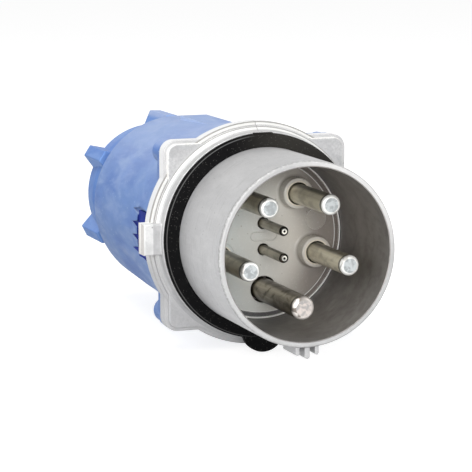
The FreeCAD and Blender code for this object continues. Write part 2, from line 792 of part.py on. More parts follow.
def make_carrier_back():
    """The rear half of the carrier: a thick disc with a chamber and a screw window for each contact."""
    body = new_body("carrier_back")
    block = crosswise(body, "block_outline", size("carrier_rear_y"))
    block.circle((as_size(0), as_size(0)), size("back_radius"))
    for centre, radius, _, _, barrel_extra in contact_places():
        block.circle(centre, radius + barrel_extra + size("chamber_gap"))
    for angle in CARRIER_SCREW_ANGLES:
        block.circle(polar(size("carrier_screw_circle"), angle),
                     size("carrier_screw_radius") + size("screw_gap"))
    length = size("back_end_y") - size("carrier_rear_y")
    pad_back(body, "block", block, length)
    half = size("window_half_width")
    window = crosswise(body, "window_outline", size("window_start_y"))
    window.outline([(-half, -size("contact_circle")), (-half, -size("back_radius") - size("overcut")),
                    (half, -size("back_radius") - size("overcut")), (half, -size("contact_circle"))])
    opened = cut_back(body, "window", window, size("back_end_y") - size("window_start_y") + size("overcut"))
    repeat_round(body, "windows", [opened], len(CONTACT_ANGLES))
    seat = size("back_end_y") - size("head_seat_depth")
    seats = crosswise(body, "head_seat_outlines", seat)
    for angle in CARRIER_SCREW_ANGLES:
        seats.circle(polar(size("carrier_screw_circle"), angle),
                     size("screw_head_radius") + size("chamber_gap"))
    cut_back(body, "head_seats", seats, size("head_seat_depth") + size("overcut"))
    screws = []
    for angle in CARRIER_SCREW_ANGLES:
        one = screw(size("carrier_screw_radius").value, size("screw_head_radius").value,
                    size("screw_head_height").value, (seat - size("carrier_screw_reach")).value,
                    size("screw_socket_radius").value)
        x, z = polar(size("carrier_screw_circle"), angle)
        one.translate(Vector(x.value, seat.value, z.value))
        screws.append(one)
    group("carrier_screws", screws)


def make_retainer_ring():
    """The flat ring that holds the carrier in the casting, and its four screws."""
    body = new_body("retainer_ring")
    outer = size("rear_recess_radius") - size("carrier_edge_gap")
    ring = crosswise(body, "ring_outline", size("retainer_ledge_y"))
    ring.circle((as_size(0), as_size(0)), outer)
    ring.circle((as_size(0), as_size(0)), size("retainer_bore_radius"))
    for angle in RETAINER_SCREW_ANGLES:
        ring.circle(polar(size("retainer_screw_circle"), angle),
                    size("retainer_screw_radius") + size("screw_gap"))
    pad_back(body, "ring", ring, size("retainer_thickness"))
    seat = size("retainer_ledge_y") + size("retainer_thickness")
    screws = []
    for angle in RETAINER_SCREW_ANGLES:
        one = screw(size("retainer_screw_radius").value, size("retainer_head_radius").value,
                    size("retainer_head_height").value,
                    (size("retainer_thickness") + size("retainer_screw_reach") - size("chamber_gap")).value,
                    size("retainer_socket_radius").value)
        x, z = polar(size("retainer_screw_circle"), angle)
        one.translate(Vector(x.value, seat.value, z.value))
        screws.append(one)
    group("retainer_screws", screws)


def recess_floor():
    """How far from the axis the floor of the housing's side recesses lies."""
    return size("housing_front_radius") - size("recess_depth")


def toothed_outline(top, shrink, steps):
    """A rectangle behind the lug, in Y and Z, whose rear edge has pointed teeth."""
    front = size("recess_front_y") + shrink
    rear = size("recess_end_y") - shrink
    bottom = -size("recess_bottom") + shrink
    half = size("notch_half_width") - shrink
    point_end = size("notch_end_y") - shrink * TOOTH_POINT_RATIO
    points = [(front, bottom), (rear, bottom)]
    for step in steps:
        middle = size("notch_pitch") * step + size("notch_shift")
        points += [(rear, middle - half), (point_end, middle), (rear, middle + half)]
    return points + [(rear, top - shrink), (front, top - shrink)]


def sideways(body, name, x):
    """A drawing in Y and Z at that distance to the right of the axis."""
    return Drawing(body, name, "YZ_Plane", x)


def make_lug_pads():
    """Dark pads let into the housing's recesses behind the two lugs."""
    for label, side in (("lug_pad_left", -1), ("lug_pad_right", 1)):
        body = new_body(label)
        floor = recess_floor() + size("snug")
        drawing = sideways(body, "pad_outline", floor * side)
        drawing.outline(toothed_outline(size("lug_pad_top"), size("snug"), NOTCH_STEPS[:-1]))
        feature = body.newObject("PartDesign::Pad", "pad")
        feature.Profile = drawing.sketch
        feature.Reversed = side < 0
        feature.setExpression("Length", size("lug_pad_thickness").text)
        doc.recompute()


def neck_end():
    """Where the housing's threaded neck ends."""
    return size("housing_rear_y") + size("neck_length")


def neck_seat():
    """Where the ledge inside the neck stands, which the cable seal is pressed on."""
    return neck_end() - size("neck_seat_depth")


def make_rear_housing():
    """The moulded housing: flared shell, flange plate with four screw bosses, recesses and neck."""
    body = new_body("rear_housing")
    spigot = size("rear_recess_radius") - size("snug")
    wall = size("housing_wall")
    groove_end = size("seal_groove_y") + size("seal_width")
    shoulder_start = size("housing_rear_y") - size("shoulder_length")
    inner_rear = size("housing_rear_y") - size("rear_wall")
    inner_front = recess_floor() - size("recess_wall")
    revolve(body, "shell", [
        (size("spigot_bore_radius"), size("spigot_front_y")),
        (spigot, size("spigot_front_y")),
        (spigot, size("seal_groove_y")),
        (spigot - size("seal_depth"), size("seal_groove_y")),
        (spigot - size("seal_depth"), groove_end),
        (spigot, groove_end),
        (spigot, size("flange_rear_y")),
        (size("housing_front_radius"), size("flange_rear_y")),
        (size("housing_waist_radius"), size("housing_waist_y"), size("flare_radius"), -1),
        (size("shoulder_start_radius"), shoulder_start),
        (size("shoulder_end_radius"), size("housing_rear_y"), size("shoulder_radius"), 1),
        (size("neck_radius"), size("housing_rear_y")),
        (size("neck_radius"), neck_end()),
        (size("neck_bore_radius"), neck_end()),
        (size("neck_bore_radius"), neck_seat()),
        (size("neck_seat_radius"), neck_seat()),
        (size("neck_seat_radius"), neck_seat() - size("neck_ledge")),
        (size("neck_bore_radius"), inner_rear),
        (size("shoulder_end_radius") - wall, inner_rear),
        (size("shoulder_start_radius") - wall, shoulder_start - wall),
        (size("housing_waist_radius") - wall, size("housing_waist_y")),
        (inner_front, size("inner_flare_y")),
        (inner_front, size("recess_front_y")),
        (size("spigot_bore_radius"), size("flange_rear_y")),
    ])
    groove = Drawing(body, "thread_groove_profile", "XY_Plane")
    groove_y = size("housing_rear_y") + size("thread_setback")
    crest = size("neck_radius")
    half = size("thread_half_width")
    groove.outline([(crest, groove_y - half), (crest, groove_y + half), (crest - size("thread_depth"), groove_y)])
    first = body.newObject("PartDesign::Groove", "thread_groove")
    first.Profile = groove.sketch
    first.ReferenceAxis = (groove.sketch, ["V_Axis"])
    first.Angle = 360.0
    doc.recompute()
    thread = body.newObject("PartDesign::LinearPattern", "thread_grooves")
    thread.Originals = [first]
    thread.Direction = (origin_feature(body, "Y_Axis"), [""])
    thread.Occurrences = THREAD_COUNT
    thread.setExpression("Length", (size("thread_pitch") * (THREAD_COUNT - 1)).text)
    body.Tip = thread
    doc.recompute()
    rib = crosswise(body, "top_rib_outline", size("inner_flare_y"))
    half = size("top_rib_half_width")
    low = size("housing_waist_radius") - wall * 0.5
    rib.outline([(-half, low), (half, low), (half, size("top_rib_height")),
                 (-half, size("top_rib_height"))])
    pad_back(body, "top_rib", rib, size("top_rib_end_y") - size("inner_flare_y"))
    plates = crosswise(body, "plate_corner_outlines", size("flange_rear_y"))
    posts = crosswise(body, "boss_outlines", size("flange_rear_y"))
    holes = crosswise(body, "screw_hole_outlines", size("seal_groove_y"))
    seat = size("boss_end_y") - size("housing_head_sink")
    sinks = crosswise(body, "head_sink_outlines", seat)
    for corner in EAR_CORNERS:
        plates.outline(ear_outline(*corner, size("plate_inset")))
        posts.circle(boss_centre(*corner), size("boss_radius"))
        holes.circle(boss_centre(*corner), size("housing_screw_radius") + size("screw_gap"))
        sinks.circle(boss_centre(*corner), size("housing_head_radius") + size("chamber_gap"))
    pad_back(body, "plate_corners", plates, size("plate_thickness"))
    pad_back(body, "bosses", posts, size("boss_end_y") - size("flange_rear_y"))
    cut_back(body, "screw_holes", holes, size("boss_end_y") - size("seal_groove_y"))
    cut_back(body, "head_sinks", sinks, size("housing_head_sink"))
    for name, side in (("recess_left", -1), ("recess_right", 1)):
        before = body.Shape.Volume
        drawing = sideways(body, name + "_outline", recess_floor() * side)
        drawing.outline(toothed_outline(size("recess_top"), as_size(0), NOTCH_STEPS))
        feature = body.newObject("PartDesign::Pocket", name)
        feature.Profile = drawing.sketch
        feature.Reversed = side > 0
        feature.setExpression("Length", (size("recess_depth") + size("overcut")).text)
        doc.recompute()
        if body.Shape.Volume > before - LEAST_CUT:
            raise RuntimeError("%s removes nothing" % name)
    screws = []
    for corner in EAR_CORNERS:
        one = screw(size("housing_screw_radius").value, size("housing_head_radius").value,
                    size("housing_head_height").value, (seat - size("housing_screw_reach")).value,
                    size("screw_socket_radius").value)
        x, z = boss_centre(*corner)
        one.translate(Vector(x.value, seat.value, z.value))
        screws.append(one)
    group("housing_screws", screws)


def make_housing_seal():
    """The rubber ring in the spigot's groove."""
    body = new_body("housing_seal")
    spigot = size("rear_recess_radius") - size("snug")
    inner = spigot - size("seal_depth") + size("snug") * 0.5
    outer = size("rear_recess_radius") - size("snug") * 0.5
    front = size("seal_groove_y") + size("snug") * 0.5
    rear = size("seal_groove_y") + size("seal_width") - size("snug") * 0.5
    revolve(body, "seal", [(inner, front), (outer, front), (outer, rear), (inner, rear)])


def make_gland():
    """Cable seal, pressure ring and the winged nut that squeezes them."""
    bore = size("neck_bore_radius") - size("ring_clearance")
    seal_end = neck_seat() + size("seal_length")
    seal = new_body("gland_seal")
    revolve(seal, "seal", [
        (size("seal_bore_radius"), neck_seat()),
        (bore, neck_seat()),
        (bore, seal_end - size("seal_chamfer")),
        (bore - size("seal_chamfer"), seal_end),
        (size("seal_bore_radius"), seal_end),
    ])
    ring_front = seal_end + size("face_gap")
    flange_front = neck_end() + size("tighten_travel")
    flange_rear = flange_front + size("ring_flange_thickness")
    ring = new_body("pressure_ring")
    revolve(ring, "ring", [
        (size("ring_bore_radius"), ring_front),
        (bore, ring_front),
        (bore, flange_front),
        (size("ring_flange_radius"), flange_front),
        (size("ring_flange_radius"), flange_rear),
        (size("ring_bore_radius"), flange_rear),
    ])
    nut = new_body("gland_nut")
    thread = size("neck_radius") + size("thread_gap")
    lip_front = flange_rear + size("face_gap")
    nut_front = size("housing_rear_y") + size("nut_gap")
    nut_waist = nut_front + size("nut_collar_length")
    nut_rear = nut_front + size("nut_length")
    revolve(nut, "nut", [
        (thread, nut_front),
        (size("nut_front_radius"), nut_front),
        (size("nut_front_radius"), nut_waist),
        (size("nut_rear_radius"), nut_rear),
        (size("nut_mouth_radius"), nut_rear),
        (size("nut_bore_radius"), (lip_front + nut_rear) * 0.5),
        (size("nut_bore_radius"), lip_front),
        (thread, lip_front),
    ])
    wing_front = nut_front + size("wing_setback")
    wing = crosswise(nut, "wing_outline", wing_front)
    wing.outline(turned([
        (size("wing_root_radius"), -size("wing_root_half_width")),
        (size("wing_reach"), -size("wing_tip_half_width")),
        (size("wing_reach"), size("wing_tip_half_width")),
        (size("wing_root_radius"), size("wing_root_half_width")),
    ], FIRST_WING_ANGLE))
    first = pad_back(nut, "wing", wing, nut_rear - wing_front)
    repeat_round(nut, "wings", [first], WING_COUNT)
    crest = math.hypot(size("wing_reach").value, size("wing_tip_half_width").value)

    def on_crest(edge):
        ends = [math.hypot(vertex.Point.x, vertex.Point.z) for vertex in edge.Vertexes]
        return all(abs(distance - crest) < TOUCH for distance in ends)

    round_edges(nut, "wing_rounding", size("wing_round"), on_crest)


def check_and_write():
    """Stops at anything failed, then writes one file for each piece."""
    doc.recompute()
    for item in doc.Objects:
        if any(word in item.State for word in ("Invalid", "Error")):
            raise RuntimeError("%s is %s" % (item.Name, item.State))
    os.makedirs("parts", exist_ok=True)
    pieces = [item for item in doc.Objects if item.TypeId in ("PartDesign::Body", "Part::Feature")]
    for piece in pieces:
        shape = piece.Shape
        if shape.isNull() or not shape.isValid():
            raise RuntimeError("%s has no valid shape" % piece.Label)
        shape.exportStep("parts/%s.step" % piece.Label)
        print(piece.Label, len(shape.Solids), "solids", round(shape.Volume), "mm3")


make_sleeve_shell()
make_flange_gasket()
make_contact_carrier()
make_contacts()
make_carrier_back()
make_retainer_ring()
make_housing_seal()
make_rear_housing()
make_lug_pads()
make_gland()
check_and_write()
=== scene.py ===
import math

import bpy
import numpy as np
from mathutils import Matrix, Vector


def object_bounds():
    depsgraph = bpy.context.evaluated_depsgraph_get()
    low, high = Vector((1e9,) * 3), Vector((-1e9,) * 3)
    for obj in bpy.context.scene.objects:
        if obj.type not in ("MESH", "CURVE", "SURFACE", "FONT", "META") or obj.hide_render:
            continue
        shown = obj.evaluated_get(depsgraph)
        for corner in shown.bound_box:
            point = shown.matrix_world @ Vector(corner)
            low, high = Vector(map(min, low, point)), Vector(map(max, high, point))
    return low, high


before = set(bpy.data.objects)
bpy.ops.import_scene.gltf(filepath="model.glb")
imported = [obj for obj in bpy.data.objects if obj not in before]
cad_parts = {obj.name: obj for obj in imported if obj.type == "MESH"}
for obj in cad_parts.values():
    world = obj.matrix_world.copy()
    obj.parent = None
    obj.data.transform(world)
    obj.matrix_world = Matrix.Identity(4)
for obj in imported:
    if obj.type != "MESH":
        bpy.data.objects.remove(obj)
CAD_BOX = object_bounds()

# The plug's axis is Y, its contacts face -Y and +Z is up. The materials measure in millimetres.
MM = 1000.0

# Carrier and contacts.
CARRIER_FRONT = 3.2
CARRIER_GROOVE = (46.9, 49.3)
CARRIER_HIGHLIGHT_LINES = ((46.0, 46.7), (49.5, 50.5))
COLLAR_MOUTH = (-6.6, -5.2)
COLLAR_FRONT = -6.3
CONTACT_CIRCLE = 32.3
CONTACT_COUNT = 5
CONTACT_HOLE = 6.85
CONTACT_CHAMBER = 8.8
PILOT_OFFSET = 8.0
PILOT_CHAMBER = 3.8
PILOT_CENTRE = 0.75
PAD_SIDE, PAD_HEIGHT, PAD_RADIUS = 34.0, 8.8, 6.4

# Casting: the sleeve, its rim, and rings on the flange, each from and to across and along the axis.
SLEEVE_BORE = 51.2
SLEEVE_REACH = 56.0
MOUTH_FLOOR = 8.5
RIM = (-70.5, -68.9)
RIM_MIDDLE = (51.6, 53.0)
RIM_OUTLINE = ((53.3, 54.2), (-69.6, -67.6))
LUG_START = 67.5
FLANGE_WALL_START = 66.5
FLANGE_WALL = (17.6, 24.6)
FLANGE_STEP = (14.5, 16.5)
FLANGE_EDGE = ((67.3, 68.2), (16.5, 17.6))
FLANGE_FOOT = ((65.3, 65.9), FLANGE_STEP)
FLANGE_FOOT_CORNER = ((64.7, 65.1), (14.0, 14.6))
FLANGE_CONE = ((63.5, 64.6), (12.8, 14.2))
FLANGE_FRONT = ((66.1, 67.2), (16.3, 16.9))
FLANGE_COLLAR = ((62.0, 64.7), (5.3, 14.0))
FLANGE_INSIDE = 62.5
PLATEAU_START = 66.4
EAR_FACE = (14.0, 14.6)
GASKET_HIGHLIGHT_LINE = (60.95, 61.2)

# Rear housing: it tapers from its flare to its waist, with a slight belly.
FLARE_FRONT = 25.0
FLARE_LENGTH = 97.0
FLARE_RADIUS = 67.0
FLARE_NARROWING = 8.1
FLARE_SAG = 1.56
HOUSING_JOINT_SHADOW = (24.0, 25.8)
RECESS = (26.0, 71.0)
RECESS_SIDE = 58.0
RECESS_TOP = 9.0
NUT_START = 180.0


class Tree:
    """One node tree, with short ways to add a node and join it to others."""

    def __init__(self, tree):
        self.tree = tree

    def put(self, socket, value):
        """Joins another node's output to a socket, or sets a number or a colour on it."""
        if isinstance(value, bpy.types.NodeSocket):
            self.tree.links.new(value, socket)
        else:
            socket.default_value = value

    def node(self, kind, inputs=None, **settings):
        """Adds a node."""
        made = self.tree.nodes.new(kind)
        for name, value in settings.items():
            setattr(made, name, value)
        for name, value in (inputs or {}).items():
            self.put(made.inputs[name], value)
        return made

    def group(self, tree, inputs=None):
        """Places a shader node group with its own values."""
        return self.node("ShaderNodeGroup", inputs, node_tree=tree).outputs

    def math(self, operation, first, second=0.0, clamp=False):
        """One step between two values."""
        inputs = {0: first, 1: second}
        return self.node("ShaderNodeMath", inputs, operation=operation, use_clamp=clamp).outputs[0]

    def plus(self, first, second):
        """The sum of two values."""
        return self.math("ADD", first, second)

    def minus(self, first, second):
        """The first value less the second."""
        return self.math("SUBTRACT", first, second)

    def times(self, first, *others):
        """The product of values, and so the place where all masks are."""
        for other in others:
            first = self.math("MULTIPLY", first, other)
        return first

    def larger(self, first, second):
        """The larger of two values, and so the place where either mask is."""
        return self.math("MAXIMUM", first, second)

    def over(self, value, limit):
        """1 where the value is over the limit, else 0."""
        return self.math("GREATER_THAN", value, limit)

    def under(self, value, limit):
        """1 where the value is under the limit, else 0."""
        return self.math("LESS_THAN", value, limit)

    def size(self, value):
        """The value without its sign."""
        return self.math("ABSOLUTE", value)

    def length(self, first, second):
        """The distance that two sides at a right angle span."""
        squares = self.plus(self.times(first, first), self.times(second, second))
        return self.math("SQRT", squares)

    def ramp(self, value, low, high):
        """0 where the value is below low, 1 above high, smooth between."""
        inputs = {"Value": value, "From Min": low, "From Max": high}
        made = self.node("ShaderNodeMapRange", inputs, interpolation_type="SMOOTHSTEP")
        return made.outputs["Result"]

    def mix(self, share, first, second):
        """Two colours mixed by share."""
        made = self.node("ShaderNodeMix", {0: share, 6: first, 7: second}, data_type="RGBA")
        return made.outputs[2]

    def blend(self, share, first, second):
        """Two values mixed by share."""
        made = self.node("ShaderNodeMix", {0: share, 2: first, 3: second}, data_type="FLOAT")
        return made.outputs[0]

    def tint(self, skin, colour, *masks):
        """Lays a colour over the skin, as far as the product of the masks and shares goes."""
        return self.mix(self.times(*masks), skin, colour)

    def place(self):
        """Object coordinates, in metres."""
        return self.node("ShaderNodeTexCoord").outputs["Object"]

    def way(self):
        """The three parts of the way that a face points."""
        normal = self.node("ShaderNodeNewGeometry").outputs["Normal"]
        return self.node("ShaderNodeSeparateXYZ", {0: normal}).outputs

    def noise(self, size, detail, stretch=None, roughness=0.5, distortion=0.0):
        """Noise whose lumps are about that many mm across."""
        place = self.place()
        if stretch:
            place = self.node("ShaderNodeMapping", {"Vector": place, "Scale": stretch}).outputs[0]
        inputs = {"Vector": place, "Scale": self.math("DIVIDE", MM, size), "Detail": detail,
                  "Roughness": roughness, "Distortion": distortion}
        return self.node("ShaderNodeTexNoise", inputs).outputs["Fac"]


def new_group(name, inputs, outputs):
    """An empty shader node group with named sockets, and its two end nodes."""
    tree = bpy.data.node_groups.new(name, "ShaderNodeTree")
    for label, kind, value in inputs:
        kind = "NodeSocket" + kind
        socket = tree.interface.new_socket(label, in_out="INPUT", socket_type=kind)
        socket.default_value = value
    for label, kind in outputs:
        tree.interface.new_socket(label, in_out="OUTPUT", socket_type="NodeSocket" + kind)
    made = Tree(tree)
    start = made.node("NodeGroupInput").outputs
    end = made.node("NodeGroupOutput").inputs
    return made, start, end


def position_group():
    """Where a point lies, in mm: from the plug's axis, along it, up, and sideways.

    Then how far it is from the axes of the nearest contact and of the nearest pilot. The contacts
    stand evenly round a circle, so the turn is folded onto the space between two of them. The
    triangle of the plug's axis, the contact and the point gives the distance.
    """
    names = ("Radius", "Along", "Height", "Side", "From contact", "From pilot")
    made, _, end = new_group("Place on the plug", [], [(name, "Float") for name in names])
    parts = made.node("ShaderNodeSeparateXYZ", {0: made.place()}).outputs
    side = made.times(parts["X"], MM)
    along = made.times(parts["Y"], MM)
    height = made.times(parts["Z"], MM)
    squares = made.plus(made.times(side, side), made.times(height, height))
    radius = made.math("SQRT", squares)
    turn = made.plus(made.math("ARCTAN2", height, side), math.pi / 2)
    folded = made.math("COSINE", made.math("PINGPONG", turn, math.pi / CONTACT_COUNT))
    across = made.times(radius, folded, 2 * CONTACT_CIRCLE)
    contact = made.math("SQRT", made.minus(made.plus(squares, CONTACT_CIRCLE ** 2), across))
    pilot = made.length(side, made.minus(made.size(height), PILOT_OFFSET))
    for name, value in zip(names, (radius, along, height, side, contact, pilot)):
        made.put(end[name], value)
    return made.tree


def band_group():
    """1 between two values and 0 outside them, with soft ends."""
    made, start, end = new_group("Band", [
        ("Value", "Float", 0.0), ("From", "Float", 0.0), ("To", "Float", 1.0),
        ("Soft", "Float", 0.1)], [("Mask", "Float")])
    low, high, soft = start["From"], start["To"], start["Soft"]
    rise = made.ramp(start["Value"], made.minus(low, soft), low)
    fall = made.ramp(start["Value"], high, made.plus(high, soft))
    made.put(end["Mask"], made.math("SUBTRACT", rise, fall, clamp=True))
    return made.tree


def grain_group():
    """Fine bumps of a moulded or cast skin, over slow waves."""
    made, start, end = new_group("Grain", [
        ("Size", "Float", 0.5), ("Depth", "Float", 0.1), ("Normal", "Vector", (0.0, 0.0, 0.0))],
        [("Normal", "Vector"), ("Value", "Float")])
    fine = made.noise(start["Size"], 3.0, roughness=0.6)
    slow = made.noise(made.times(start["Size"], 14.0), 2.0)
    inputs = {"Strength": start["Depth"], "Distance": 0.0004, "Height": made.blend(0.3, fine, slow),
              "Normal": start["Normal"]}
    made.put(end["Normal"], made.node("ShaderNodeBump", inputs).outputs["Normal"])
    made.put(end["Value"], fine)
    return made.tree


def cloud_group():
    """A colour under another in broad drifts and small patches. Stretch is small along them."""
    made, start, end = new_group("Clouds", [
        ("Colour", "Color", (0.5, 0.5, 0.5, 1.0)), ("Pale", "Color", (0.8, 0.8, 0.8, 1.0)),
        ("Size", "Float", 12.0), ("Amount", "Float", 0.3),
        ("Stretch", "Vector", (1.0, 1.0, 1.0))], [("Colour", "Color")])
    stretch = start["Stretch"]
    drift = made.noise(start["Size"], 5.0, stretch, roughness=0.62, distortion=0.4)
    patch = made.noise(made.times(start["Size"], 0.3), 4.0, stretch, distortion=0.3)
    both = made.plus(made.ramp(drift, 0.42, 0.68), made.times(made.ramp(patch, 0.45, 0.75), 0.2))
    mask = made.math("MULTIPLY", both, start["Amount"], clamp=True)
    made.put(end["Colour"], made.mix(mask, start["Colour"], start["Pale"]))
    return made.tree


def speck_group():
    """Scattered specks: random cells of a cell pattern, each with a dot in its middle."""
    made, start, end = new_group("Specks", [
        ("Colour", "Color", (0.5, 0.5, 0.5, 1.0)), ("Speck", "Color", (0.1, 0.1, 0.1, 1.0)),
        ("Size", "Float", 1.5), ("Share", "Float", 0.2)], [("Colour", "Color")])
    inputs = {"Vector": made.place(), "Scale": made.math("DIVIDE", MM, start["Size"])}
    cells = made.node("ShaderNodeTexVoronoi", inputs).outputs
    chance = made.node("ShaderNodeSeparateColor", {0: cells["Color"]}).outputs[0]
    dot = made.minus(1.0, made.ramp(cells["Distance"], 0.12, 0.3))
    mask = made.times(made.under(chance, start["Share"]), dot)
    made.put(end["Colour"], made.mix(mask, start["Colour"], start["Speck"]))
    return made.tree


def streak_group():
    """Fine lines along one way, as on turned metal. Stretch is small along the lines."""
    made, start, end = new_group("Streaks", [
        ("Width", "Float", 0.4), ("Soft", "Float", 0.2), ("Stretch", "Vector", (1.0, 0.03, 1.0))],
        [("Value", "Float")])
    fine = made.noise(start["Width"], 2.0, start["Stretch"])
    broad = made.noise(made.times(start["Width"], 6.0), 2.0, start["Stretch"])
    made.put(end["Value"], made.blend(start["Soft"], fine, broad))
    return made.tree


def corner_group():
    """Softened corners: the rounded normal, and a mask of the places near a corner."""
    made, start, end = new_group("Soft corners", [
        ("Width", "Float", 0.6), ("Gain", "Float", 4.0)],
        [("Normal", "Vector"), ("Mask", "Float")])
    radius = made.times(start["Width"], 1.0 / MM)
    rounded = made.node("ShaderNodeBevel", {"Radius": radius}, samples=4).outputs["Normal"]
    flat = made.node("ShaderNodeNewGeometry").outputs["Normal"]
    likeness = made.node("ShaderNodeVectorMath", {0: rounded, 1: flat}, operation="DOT_PRODUCT")
    turned = made.minus(1.0, likeness.outputs["Value"])
    made.put(end["Normal"], rounded)
    made.put(end["Mask"], made.math("MULTIPLY", turned, start["Gain"], clamp=True))
    return made.tree


POSITION = position_group()
BAND = band_group()
GRAIN = grain_group()
CLOUDS = cloud_group()
SPECKS = speck_group()
STREAKS = streak_group()
CORNERS = corner_group()


def rgb(red, green, blue):
    """A screen colour, 0 to 255, as the linear numbers that a shader takes."""
    def linear(value):
        value /= 255.0
        return value / 12.92 if value <= 0.04045 else ((value + 0.055) / 1.055) ** 2.4
    return linear(red), linear(green), linear(blue), 1.0


def new_material(name):
    """A material with one Principled shader, its node tree and the shader's sockets."""
    material = bpy.data.materials.new(name)
    material.use_nodes = True
    shader = material.node_tree.nodes["Principled BSDF"]
    return material, Tree(material.node_tree), shader.inputs


def feed(made, shader, **sockets):
    """Joins outputs to the shader, or sets plain numbers on it."""
    for name, value in sockets.items():
        made.put(shader[name.replace("_", " ")], value)


def band(made, value, low, high, soft=0.1):
    """The mask between two values."""
    return made.group(BAND, {"Value": value, "From": low, "To": high, "Soft": soft})["Mask"]


def ring(made, place, extent, soft=0.1, soft_along=0.1):
    """The mask of a ring round the axis, given from and to across and along it."""
    across, along = extent
    return made.times(band(made, place["Radius"], *across, soft),
                      band(made, place["Along"], *along, soft_along))


def clouds(made, colour, pale, size, amount, stretch=(1.0, 1.0, 1.0)):
    """Drifts of a pale colour over another."""
    return made.group(CLOUDS, {"Colour": colour, "Pale": pale, "Size": size, "Amount": amount,
                               "Stretch": stretch})["Colour"]


def specks(made, colour, speck, size, share):
    """Scattered specks over a colour."""
    return made.group(SPECKS, {"Colour": colour, "Speck": speck, "Size": size,
                               "Share": share})["Colour"]


def casting_skin(made, place, grain, spots):
    """The blasted skin: clouds, specks, grain, strokes round the sleeve and paler side lugs."""
    skin = clouds(made, rgb(190, 190, 191), rgb(208, 208, 208), 16.0, 0.6, (1.0, 0.35, 1.0))
    skin = clouds(made, skin, rgb(168, 168, 169), 4.0, 0.2, (1.0, 0.35, 1.0))
    lug = made.over(made.size(place["Side"]), LUG_START)
    lug_end = made.ramp(made.size(made.way()["X"]), 0.7, 0.95)
    skin = made.tint(skin, rgb(242, 242, 241), lug, 0.7)
    skin = made.tint(skin, rgb(204, 197, 190), lug, lug_end, 0.6)
    skin = specks(made, skin, rgb(160, 160, 160), 2.2, 0.06)
    skin = made.tint(skin, rgb(165, 165, 166), grain["Value"], 0.22)
    skin = made.tint(skin, rgb(140, 140, 141), spots, 0.11)
    strokes = made.ramp(made.noise(1.3, 2.0, (0.08, 1.0, 0.08)), 0.48, 0.7)
    patches = made.ramp(made.noise(9.0, 2.0), 0.4, 0.6)
    return made.tint(skin, rgb(140, 140, 141), strokes, patches, 0.32)


def flange_painted_light(made, place, skin, corners, upper):
    """Painted highlights and painted shade lines on the flange, strongest on the upper half."""
    edge = ring(made, place, FLANGE_EDGE)
    rim = band(made, place["Along"], *RIM, 0.3)
    dull = made.larger(edge, made.times(rim, 0.6))
    # Painted highlight: near-white corners, weaker on the outer front edge and the rim, stronger on
    # the upper half.
    glint = made.times(corners["Mask"], made.minus(1.0, dull), made.blend(upper, 0.35, 0.8))
    skin = made.mix(glint, skin, rgb(246, 246, 245))
    # Painted shade: a dark line along the flange's outer front edge, stronger on the upper half.
    skin = made.tint(skin, rgb(132, 130, 122), edge, made.blend(upper, 0.2, 0.6))
    # Painted light: the flange's outer wall near white on the upper half.
    wall = made.times(made.over(place["Radius"], FLANGE_WALL_START),
                      band(made, place["Along"], *FLANGE_WALL, 0.2))
    skin = made.tint(skin, rgb(248, 248, 248), wall, made.blend(upper, 0.0, 0.6))
    # Painted shade in the crease at the foot of the step, on the upper half.
    foot = made.larger(ring(made, place, FLANGE_FOOT), ring(made, place, FLANGE_FOOT_CORNER))
    skin = made.tint(skin, rgb(128, 124, 118), foot, upper, 0.6)
    # Painted highlights on the cone, the plateau's step and the front face, on the upper half.
    # Plain marks the front face and cone for a lower metallic.
    cone = ring(made, place, FLANGE_CONE)
    skin = made.tint(skin, rgb(252, 252, 248), cone, upper, 0.7)
    plateau = made.times(band(made, place["Along"], *FLANGE_STEP),
                         made.over(place["Radius"], PLATEAU_START))
    skin = made.tint(skin, rgb(255, 253, 248), plateau, upper, 0.8)
    front = ring(made, place, FLANGE_FRONT, soft=0.2)
    skin = made.tint(skin, rgb(252, 252, 248), front, upper, 0.7)
    plain = made.times(made.larger(front, cone), upper)
    return skin, plain


def casting_shade_and_marks(made, place, skin, upper):
    """Painted shade on the flange's lower half, the collar's top and the sleeve's top; darker
    mottle on the ears and a dark seam.
    """
    # Painted shade: the flange's lower half darker, as the light falls from above.
    lower = made.times(made.minus(1.0, upper), made.over(place["Radius"], FLANGE_INSIDE))
    skin = made.tint(skin, rgb(160, 160, 162), lower, 0.35)
    # Painted shade: the collar darker towards its top.
    collar = made.times(ring(made, place, FLANGE_COLLAR), made.ramp(place["Height"], 25.0, 50.0))
    skin = made.tint(skin, rgb(176, 176, 172), collar, 0.25)
    ear = made.times(made.over(place["Radius"], PLATEAU_START),
                     band(made, place["Along"], *EAR_FACE))
    mottle = made.ramp(made.noise(1.4, 4.0, roughness=0.7), 0.4, 0.6)
    skin = made.tint(skin, rgb(158, 158, 160), ear, mottle, 0.4)
    # Painted shade: the sleeve darker towards its top.
    sleeve_top = made.times(made.ramp(place["Height"], 8.0, 50.0),
                            made.under(place["Radius"], SLEEVE_REACH))
    skin = made.tint(skin, rgb(140, 139, 138), sleeve_top, 0.32)
    seam = made.times(band(made, place["Side"], -0.2, 0.2, 0.15),
                      band(made, place["Height"], 55.0, 80.0))
    return made.tint(skin, rgb(120, 120, 118), seam, 0.55)


